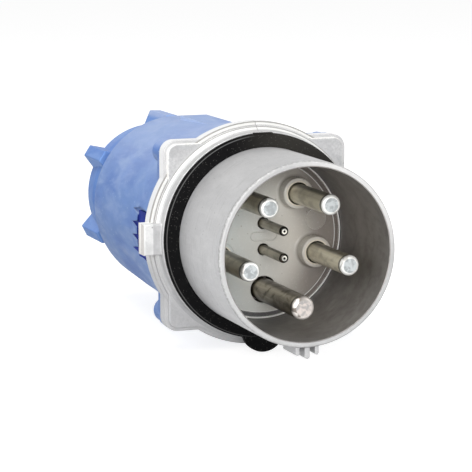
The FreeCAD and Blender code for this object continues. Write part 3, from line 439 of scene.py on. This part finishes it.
def sleeve_rim(made, place, skin, spots):
    """The sleeve's rim: speckled, with painted light at the upper right and a dark line behind it.
    """
    rim = band(made, place["Along"], *RIM, 0.3)
    middle = made.times(rim, band(made, place["Radius"], *RIM_MIDDLE, 0.4))
    speckle = made.plus(made.times(spots, 0.6), made.times(middle, 0.25))
    skin = made.tint(skin, rgb(184, 184, 183), rim, speckle)
    # Painted light: the rim paler towards the upper right.
    bright = made.times(made.ramp(place["Side"], -20.0, 20.0),
                        made.ramp(place["Height"], -10.0, 30.0))
    skin = made.tint(skin, rgb(248, 247, 245), rim, bright, 0.35)
    outline = ring(made, place, RIM_OUTLINE, 0.2, 0.4)
    broken = made.ramp(made.noise(1.6, 3.0), 0.38, 0.58)
    share = made.blend(made.ramp(place["Side"], -10.0, 20.0), broken, 0.7)
    return made.tint(skin, rgb(128, 127, 126), outline, share, 0.55)


def sleeve_bore(made, place):
    """The sleeve's machined inside, its darker colour partly painted shade, with painted light on
    the lower right and more painted shade towards its floor.
    """
    streaks = made.group(STREAKS, {"Width": 2.4, "Soft": 0.6, "Stretch": (0.06, 1.0, 0.06)})
    lines = made.ramp(streaks["Value"], 0.35, 0.7)
    # The darker colour of the bore is partly painted shade.
    bore = made.mix(lines, rgb(137, 134, 132), rgb(149, 147, 145))
    # Painted light: the lower right of the bore lighter.
    bore_painted_light = made.times(made.ramp(place["Side"], 30.0, 50.0),
                       made.ramp(place["Height"], -45.0, -5.0))
    bore = made.tint(bore, rgb(182, 178, 176), bore_painted_light, 0.4)
    bore = clouds(made, bore, rgb(182, 179, 177), 18.0, 0.4)
    bore = clouds(made, bore, rgb(96, 90, 88), 7.0, 0.3)
    # Painted shade: darker towards the sleeve's floor.
    return made.tint(bore, rgb(92, 88, 84), made.ramp(place["Along"], -30.0, 4.0), 0.45)


def cast_aluminium():
    """The die-cast front: blasted light skin outside, machined inside the sleeve."""
    material, made, shader = new_material("cast_aluminium")
    place = made.group(POSITION)
    corners = made.group(CORNERS, {"Width": 0.9, "Gain": 5.0})
    grain = made.group(GRAIN, {"Size": 0.7, "Depth": 0.25, "Normal": corners["Normal"]})
    spots = made.ramp(made.noise(1.1, 4.0, roughness=0.7), 0.42, 0.6)
    # The upper half, where the painted light and shade on the casting are strongest.
    upper = made.ramp(place["Height"], -30.0, 12.0)
    skin = casting_skin(made, place, grain, spots)
    skin, plain = flange_painted_light(made, place, skin, corners, upper)
    skin = casting_shade_and_marks(made, place, skin, upper)
    skin = sleeve_rim(made, place, skin, spots)
    inside = made.times(made.under(place["Radius"], SLEEVE_BORE),
                        made.under(place["Along"], MOUTH_FLOOR))
    skin_roughness = made.plus(0.42, made.times(grain["Value"], 0.12))
    feed(made, shader, Base_Color=made.mix(inside, skin, sleeve_bore(made, place)),
         Metallic=made.blend(inside, made.blend(plain, 0.35, 0.05), 0.75),
         Roughness=made.blend(inside, skin_roughness, 0.36), Normal=grain["Normal"])
    return material


def black_rubber():
    """Dusty black rubber with a painted highlight line near the gasket's outer edge, on its left
    side.
    """
    material, made, shader = new_material("black_rubber")
    place = made.group(POSITION)
    grain = made.group(GRAIN, {"Size": 0.6, "Depth": 0.35})
    skin = clouds(made, rgb(4, 4, 5), rgb(13, 13, 14), 9.0, 0.4)
    skin = made.tint(skin, rgb(58, 56, 52), made.ramp(place["Height"], 10.0, 60.0),
                     made.ramp(place["Side"], -24.0, 16.0), 0.6)
    skin = specks(made, skin, rgb(84, 83, 80), 0.9, 0.35)
    # Painted highlight: a thin grey line near the gasket's outer edge, on the left.
    line = made.times(band(made, place["Radius"], *GASKET_HIGHLIGHT_LINE, 0.2),
                      made.under(place["Along"], 6.0))
    left = made.minus(1.0, made.ramp(place["Side"], -20.0, 0.0))
    skin = made.tint(skin, rgb(108, 108, 108), line, left, 0.6)
    feed(made, shader, Base_Color=skin, Roughness=made.blend(grain["Value"], 0.62, 0.8),
         Specular_IOR_Level=0.08, Normal=grain["Normal"])
    return material


def carrier_shade(made, place):
    """Painted shade on the carrier's face, where the sleeve keeps the light off: to the right and
    above, less on collars and on the pad.
    """
    right = made.times(made.ramp(place["Radius"], 14.0, 40.0),
                       made.ramp(place["Side"], 6.0, 32.0))
    shade = made.larger(right, made.times(made.ramp(place["Height"], 20.0, 44.0), 0.75))
    on_face = made.blend(made.over(place["Along"], 0.0), 0.25, 1.0)
    spread = made.length(made.minus(place["Side"], PAD_SIDE),
                         made.minus(place["Height"], PAD_HEIGHT))
    off_pad = made.ramp(spread, PAD_RADIUS - 0.3, PAD_RADIUS)
    return made.times(shade, on_face, made.blend(off_pad, 0.72, 0.88))


def carrier_holes(made, place):
    """The mask of the walls of the contact and pilot holes, and their colour as painted shade:
    lighter on walls facing up, black at the mouth.
    """
    deep = made.over(place["Along"], CARRIER_FRONT)
    chamber = made.times(made.under(place["From contact"], CONTACT_CHAMBER), deep)
    shaft = made.times(made.under(place["From contact"], CONTACT_HOLE),
                       made.over(place["Along"], COLLAR_FRONT))
    pilot = made.times(made.under(place["From pilot"], PILOT_CHAMBER), deep)
    hole = made.larger(made.larger(chamber, shaft), pilot)
    mouth = made.larger(band(made, place["Along"], 3.0, 4.4, 0.3),
                        band(made, place["Along"], *COLLAR_MOUTH, 0.3))
    # Painted shade: the walls facing down darker, the mouth black.
    lit = made.ramp(made.way()["Z"], 0.1, 0.7)
    wall = made.mix(lit, rgb(84, 78, 70), rgb(150, 144, 134))
    return hole, made.tint(wall, rgb(12, 10, 8), mouth, made.minus(1.0, lit))


def insulator():
    """The carrier's glossy warm grey plastic, cooler to the left as a painted sheen, with painted
    shade in its groove and painted highlights on its lines and corners.
    """
    material, made, shader = new_material("carrier_grey")
    place = made.group(POSITION)
    corners = made.group(CORNERS, {"Width": 0.5, "Gain": 3.0})
    grain = made.group(GRAIN, {"Size": 1.2, "Depth": 0.06, "Normal": corners["Normal"]})
    # Painted sheen: cooler grey to the left.
    skin = made.mix(made.ramp(place["Side"], -34.0, 30.0), rgb(212, 218, 216), rgb(216, 210, 200))
    skin = clouds(made, skin, rgb(212, 210, 202), 18.0, 0.35)
    skin = specks(made, skin, rgb(178, 174, 166), 2.0, 0.03)
    # Painted shade in the groove.
    skin = made.tint(skin, rgb(66, 66, 68), ring(made, place, (CARRIER_GROOVE, (4.2, 9.0))), 0.9)
    # Painted shade, as given by carrier_shade.
    skin = made.mix(carrier_shade(made, place), skin, rgb(112, 103, 96))
    # Painted highlights: two thin near-white lines at the groove's edges.
    inner, outer = CARRIER_HIGHLIGHT_LINES
    lines = made.larger(band(made, place["Radius"], *inner, 0.15),
                        band(made, place["Radius"], *outer))
    skin = made.tint(skin, rgb(250, 249, 246), lines, made.under(place["Along"], 6.0), 0.9)
    # Painted highlight on the corners.
    skin = made.tint(skin, rgb(246, 245, 240), corners["Mask"], 0.8)
    # Painted highlight: a light ring at the inner edge of each collar.
    mouth_highlight = made.times(band(made, place["From contact"], 6.9, 7.5, 0.15),
                            band(made, place["Along"], *COLLAR_MOUTH, 0.3))
    skin = made.tint(skin, rgb(238, 228, 206), mouth_highlight, 0.8)
    hole, wall = carrier_holes(made, place)
    roughness = made.blend(hole, made.blend(grain["Value"], 0.2, 0.32), 0.9)
    feed(made, shader, Base_Color=made.mix(hole, skin, wall), Roughness=roughness,
         Normal=grain["Normal"])
    return material


def moulding(name, colour, pale, roughness=0.45):
    """Moulded plastic, a little cloudy, with painted highlights on its corners."""
    material, made, shader = new_material(name)
    corners = made.group(CORNERS, {"Width": 0.5, "Gain": 3.0})
    grain = made.group(GRAIN, {"Size": 1.2, "Depth": 0.08, "Normal": corners["Normal"]})
    skin = clouds(made, colour, pale, 16.0, 0.4)
    # Painted highlight on the corners.
    skin = made.tint(skin, pale, corners["Mask"], 0.35)
    skin = specks(made, skin, rgb(110, 106, 98), 3.0, 0.05)
    feed(made, shader, Base_Color=skin, Normal=grain["Normal"],
         Roughness=made.blend(grain["Value"], roughness, roughness + 0.12))
    return material


def nickel(name, colour, dark, stain, edge, tip, under, shoulder):
    """Nickel on turned brass.

    The shaft has lines from dark to colour, stains, painted shade on its underside, as much as
    under sets, and a painted dark reflection along its top. A painted shade line marks the
    shoulder, its place along the axis. Round the tip runs a ring of the edge colour, a painted
    reflection on the bevel, with nicks.
    """
    material, made, shader = new_material(name)
    place = made.group(POSITION)
    corners = made.group(CORNERS, {"Width": 0.5, "Gain": 4.0})
    grain = made.group(GRAIN, {"Size": 0.5, "Depth": 0.12, "Normal": corners["Normal"]})
    streaks = made.group(STREAKS, {"Width": 1.4, "Soft": 0.75})["Value"]
    skin = made.mix(made.ramp(streaks, 0.36, 0.64), dark, colour)
    stains = made.ramp(made.noise(6.0, 3.0, (1.0, 0.6, 1.0), distortion=0.6), 0.42, 0.7)
    skin = made.tint(skin, rgb(76, 68, 54), stains, stain)
    # Painted shade: a dark line behind the tip's bevel.
    skin = made.tint(skin, rgb(48, 42, 34),
                     band(made, place["Along"], shoulder, shoulder + 1.6, 0.6), 0.8)
    way = made.way()
    leftward, forward, downward = (made.times(way[part], -1.0) for part in "XYZ")
    left = made.minus(1.0, made.ramp(place["Side"], -5.0, 12.0))
    # Painted shade on the underside, stronger on the left pins.
    skin = made.tint(skin, rgb(52, 44, 32), made.ramp(downward, 0.2, 0.95),
                     made.blend(left, 0.3, 1.0), under)
    # Painted dark reflection along the top.
    skin = made.tint(skin, rgb(58, 50, 38), made.ramp(way["Z"], 0.72, 0.96), 0.75)
    rarity = 0.64 - 0.16 * stain
    nicks = made.times(made.ramp(made.noise(6.0, 1.0), rarity, rarity + 0.08),
                       made.blend(made.ramp(leftward, -0.2, 0.3), 0.3, 0.5 + 0.4 * stain))
    # Painted reflection: the bevel ring in the edge colour.
    skin = made.tint(skin, made.mix(nicks, edge, rgb(78, 68, 58)),
                     made.ramp(forward, 0.1, 0.28))
    mottle = made.ramp(made.noise(3.0, 3.0, distortion=0.5), 0.4, 0.62)
    flat = made.tint(tip, rgb(124, 128, 130), mottle, 0.6)
    skin = made.tint(skin, flat, made.ramp(forward, 0.97, 0.99))
    centre = made.times(made.under(place["From pilot"], PILOT_CENTRE),
                        made.under(place["Along"], -30.0))
    skin = made.tint(skin, rgb(24, 20, 16), centre)
    feed(made, shader, Base_Color=skin, Metallic=made.blend(left, 0.35, 0.6),
         Roughness=made.blend(stains, 0.3, 0.45), Normal=grain["Normal"])
    return material


def steel():
    """Zinc plated steel."""
    material, made, shader = new_material("plain_steel")
    corners = made.group(CORNERS, {"Width": 0.3, "Gain": 4.0})
    grain = made.group(GRAIN, {"Size": 0.8, "Depth": 0.15, "Normal": corners["Normal"]})
    skin = clouds(made, rgb(165, 166, 168), rgb(205, 205, 205), 5.0, 0.5)
    feed(made, shader, Base_Color=skin, Metallic=0.9, Normal=grain["Normal"],
         Roughness=made.blend(grain["Value"], 0.3, 0.45))
    return material


def recess_mask(made, place):
    """The housing's side recesses: what lies below the flare's outline, out to the side."""
    share = made.math("DIVIDE", made.minus(place["Along"], FLARE_FRONT), FLARE_LENGTH)
    sag = made.times(share, made.minus(1.0, share), 4.0 * FLARE_SAG)
    taper = made.minus(FLARE_RADIUS, made.times(share, FLARE_NARROWING))
    sunk = made.under(place["Radius"], made.minus(made.minus(taper, sag), 0.35))
    beside = made.over(made.size(place["Side"]), RECESS_SIDE)
    return made.times(sunk, beside, band(made, place["Along"], *RECESS),
                      made.under(place["Height"], RECESS_TOP))


def housing_details(made, place, way, skin):
    """Painted light on the left side of the top strip, painted shade in the recesses and a painted
    shadow along the joint with the casting.
    """
    # Painted light: the left-facing side of the top strip paler.
    strip_side = made.times(made.under(way["X"], -0.8), made.over(place["Height"], 50.0),
                            band(made, place["Side"], -11.0, 0.0))
    skin = made.tint(skin, rgb(186, 204, 236), strip_side, 0.8)
    # Painted shade: the recesses navy.
    skin = made.tint(skin, rgb(28, 44, 126), recess_mask(made, place))
    # Painted shadow: a darker blue line where the housing meets the casting.
    return made.tint(skin, rgb(70, 92, 150), band(made, place["Along"], *HOUSING_JOINT_SHADOW, 0.5), 0.6)


def nut_details(made, way, skin):
    """Painted light on the nut where it faces the front or the floor."""
    # Painted light on faces turned to the front or down.
    fore = made.larger(made.ramp(made.times(way["Y"], -1.0), 0.4, 0.8),
                       made.ramp(made.times(way["Z"], -1.0), 0.3, 0.7))
    return made.tint(skin, rgb(136, 172, 228), fore, 0.55)


def blue_plastic(name, colour, pale, deep, top_sheen, housing):
    """Matte blue moulding with pale rubbed drifts, a painted sheen on top and painted highlights on
    its corners.
    """
    material, made, shader = new_material(name)
    place = made.group(POSITION)
    corners = made.group(CORNERS, {"Width": 0.8, "Gain": 3.0})
    grain = made.group(GRAIN, {"Size": 0.9, "Depth": 0.22, "Normal": corners["Normal"]})
    skin = made.mix(made.ramp(made.noise(22.0, 3.0, (1.0, 0.35, 1.0)), 0.4, 0.6), deep, colour)
    skin = clouds(made, skin, pale, 12.0, 0.5, (1.0, 0.35, 1.0))
    skin = clouds(made, skin, rgb(102, 136, 198), 7.0, 0.3, (1.0, 0.35, 1.0))
    way = made.way()
    nut_top = made.times(made.ramp(place["Radius"], 50.5, 54.0),
                         made.ramp(place["Height"], 30.0, 52.0),
                         made.over(place["Along"], NUT_START))
    # Painted sheen on faces turned up, and on the nut's top.
    upward = made.larger(made.times(made.ramp(way["Z"], 0.2, 1.0), top_sheen),
                         made.times(nut_top, 0.6))
    skin = made.tint(skin, rgb(176, 188, 214), upward)
    # Painted highlight on the corners.
    skin = made.tint(skin, pale, corners["Mask"], 0.45)
    skin = specks(made, skin, pale, 2.4, 0.06)
    if housing:
        skin = housing_details(made, place, way, skin)
    else:
        skin = nut_details(made, way, skin)
    feed(made, shader, Base_Color=skin, Roughness=made.blend(grain["Value"], 0.52, 0.7),
         Specular_IOR_Level=0.3, Normal=grain["Normal"])
    return material


def dark_pad():
    """Navy plastic of the side pads; their dark navy partly stands in for the shade in the
    housing's recesses.
    """
    material, made, shader = new_material("pad_navy")
    grain = made.group(GRAIN, {"Size": 0.9, "Depth": 0.2})
    skin = clouds(made, rgb(26, 42, 128), rgb(40, 60, 150), 6.0, 0.5)
    feed(made, shader, Base_Color=skin, Roughness=made.blend(grain["Value"], 0.6, 0.75),
         Specular_IOR_Level=0.15, Normal=grain["Normal"])
    return material


def dress():
    """Gives each piece of the plug its finish."""
    casting = cast_aluminium()
    rubber = black_rubber()
    metal = steel()
    contact = nickel("contact_nickel", colour=rgb(248, 242, 220), dark=rgb(212, 203, 176),
                     stain=0.25, edge=rgb(242, 242, 238), tip=rgb(196, 201, 202), under=0.5,
                     shoulder=-56.3)
    earth = nickel("earth_nickel", colour=rgb(186, 176, 154), dark=rgb(120, 109, 92),
                   stain=0.85, edge=rgb(222, 216, 210), tip=rgb(208, 198, 192), under=0.85,
                   shoulder=-60.7)
    pilot = nickel("pilot_nickel", colour=rgb(180, 173, 154), dark=rgb(116, 108, 93),
                   stain=0.4, edge=rgb(26, 23, 20), tip=rgb(240, 236, 224), under=0.3,
                   shoulder=-50.0)
    housing = blue_plastic("housing_blue", colour=rgb(98, 130, 184), pale=rgb(146, 166, 202),
                           deep=rgb(81, 115, 177), top_sheen=0.42, housing=True)
    nut = blue_plastic("nut_blue", colour=rgb(89, 130, 193), pale=rgb(122, 152, 203),
                       deep=rgb(75, 117, 186), top_sheen=0.2, housing=False)
    face = insulator()
    rear = moulding("carrier_dark", rgb(70, 70, 72), rgb(98, 98, 100))
    pressing = moulding("ring_grey", rgb(120, 121, 124), rgb(146, 147, 150))
    pad = dark_pad()
    finishes = {
        "sleeve_shell": casting, "flange_gasket": rubber, "contact_carrier": face,
        "pin_phase_1": contact, "pin_phase_2": contact, "pin_phase_3": contact,
        "pin_neutral": contact, "pin_earth": earth,
        "pin_pilot_upper": pilot, "pin_pilot_lower": pilot,
        "terminal_screws": metal, "pilot_screws": metal,
        "carrier_back": rear, "carrier_screws": metal,
        "retainer_ring": metal, "retainer_screws": metal,
        "housing_seal": rubber, "rear_housing": housing, "housing_screws": metal,
        "lug_pad_left": pad, "lug_pad_right": pad,
        "gland_seal": rubber, "pressure_ring": pressing, "gland_nut": nut,
    }
    for name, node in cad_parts.items():
        node.data.materials.clear()
        node.data.materials.append(finishes[name])


def background_rays(made):
    """1 for rays that show the background: the camera's, and those off metal or through glass."""
    path = made.node("ShaderNodeLightPath").outputs
    seen = made.larger(path["Is Camera Ray"], path["Is Glossy Ray"])
    return made.larger(seen, path["Is Transmission Ray"])


def make_floor(reach=30.0, gap=0.0005):
    """A wide pale floor under the plug, in metres. It is white where nothing shades it."""
    low = min(corner[2] for corner in CAD_BOX) - gap
    mesh = bpy.data.meshes.new("floor")
    corners = [(-reach, -reach, low), (reach, -reach, low),
               (reach, reach, low), (-reach, reach, low)]
    mesh.from_pydata(corners, [], [(0, 1, 2, 3)])
    floor = bpy.data.objects.new("floor", mesh)
    bpy.context.scene.collection.objects.link(floor)
    material = bpy.data.materials.new("pale_floor")
    material.use_nodes = True
    made = Tree(material.node_tree)
    material.node_tree.nodes.clear()
    glow = made.times(background_rays(made), 0.8)
    plain = made.node("ShaderNodeBsdfDiffuse", {"Color": (0.48, 0.48, 0.48, 1.0)}).outputs[0]
    light = made.node("ShaderNodeEmission", {"Strength": glow}).outputs[0]
    total = made.node("ShaderNodeAddShader", {0: plain, 1: light}).outputs[0]
    made.node("ShaderNodeOutputMaterial", {"Surface": total})
    mesh.materials.append(material)


# Lamps aimed at the origin: name, place in metres, width in metres, power in watts.
LAMPS = (
    ("key", (-0.6, -0.35, 1.85), 1.2, 28.0),
    ("front", (-0.3, -1.5, 0.25), 0.7, 12.5),
    ("side", (1.4, -0.6, 0.7), 1.0, 5.0),
    ("left", (-1.5, -0.5, 0.6), 0.9, 9.0),
)


def make_light():
    """Soft studio light: a white surround and large lamps, the strongest up to the left."""
    world = bpy.data.worlds.new("studio")
    bpy.context.scene.world = world
    world.use_nodes = True
    made = Tree(world.node_tree)
    world.node_tree.nodes.clear()
    strength = made.blend(background_rays(made), 0.32, 1.0)
    inputs = {"Color": (1.0, 1.0, 1.0, 1.0), "Strength": strength}
    surround = made.node("ShaderNodeBackground", inputs).outputs[0]
    made.node("ShaderNodeOutputWorld", {"Surface": surround})
    for name, place, size, power in LAMPS:
        lamp = bpy.data.lights.new(name, "AREA")
        lamp.size = size
        lamp.energy = power
        holder = bpy.data.objects.new(name, lamp)
        bpy.context.scene.collection.objects.link(holder)
        holder.location = Vector(place)
        holder.rotation_euler = (-Vector(place)).to_track_quat("-Z", "Y").to_euler()


# The photograph's view: azimuth, elevation and roll in degrees, place in metres, lens in mm.
VIEW_ANGLES = (-19.99, 9.016, 0.118)
VIEW_PLACE = (-0.47359, -1.25105, 0.21286)
VIEW_LENS = 172.518
VIEW_SENSOR = 36.0


def make_camera():
    """The camera of the photograph."""
    turn, rise, roll = np.radians(VIEW_ANGLES)
    back = np.array([math.sin(turn) * math.cos(rise), -math.cos(turn) * math.cos(rise),
                     math.sin(rise)])
    right = np.cross(-back, [0.0, 0.0, 1.0])
    right /= np.linalg.norm(right)
    down = np.cross(-back, right)
    matrix = np.eye(4)
    matrix[:3, 0] = math.cos(roll) * right + math.sin(roll) * down
    matrix[:3, 1] = math.sin(roll) * right - math.cos(roll) * down
    matrix[:3, 2] = back
    matrix[:3, 3] = VIEW_PLACE
    camera = bpy.data.cameras.new("camera")
    camera.lens = VIEW_LENS
    camera.sensor_width = VIEW_SENSOR
    holder = bpy.data.objects.new("camera", camera)
    holder.matrix_world = Matrix(matrix.tolist())
    bpy.context.scene.collection.objects.link(holder)
    bpy.context.scene.camera = holder


make_camera()
dress()
make_floor()
make_light()
bpy.context.scene.view_settings.view_transform = "Standard"
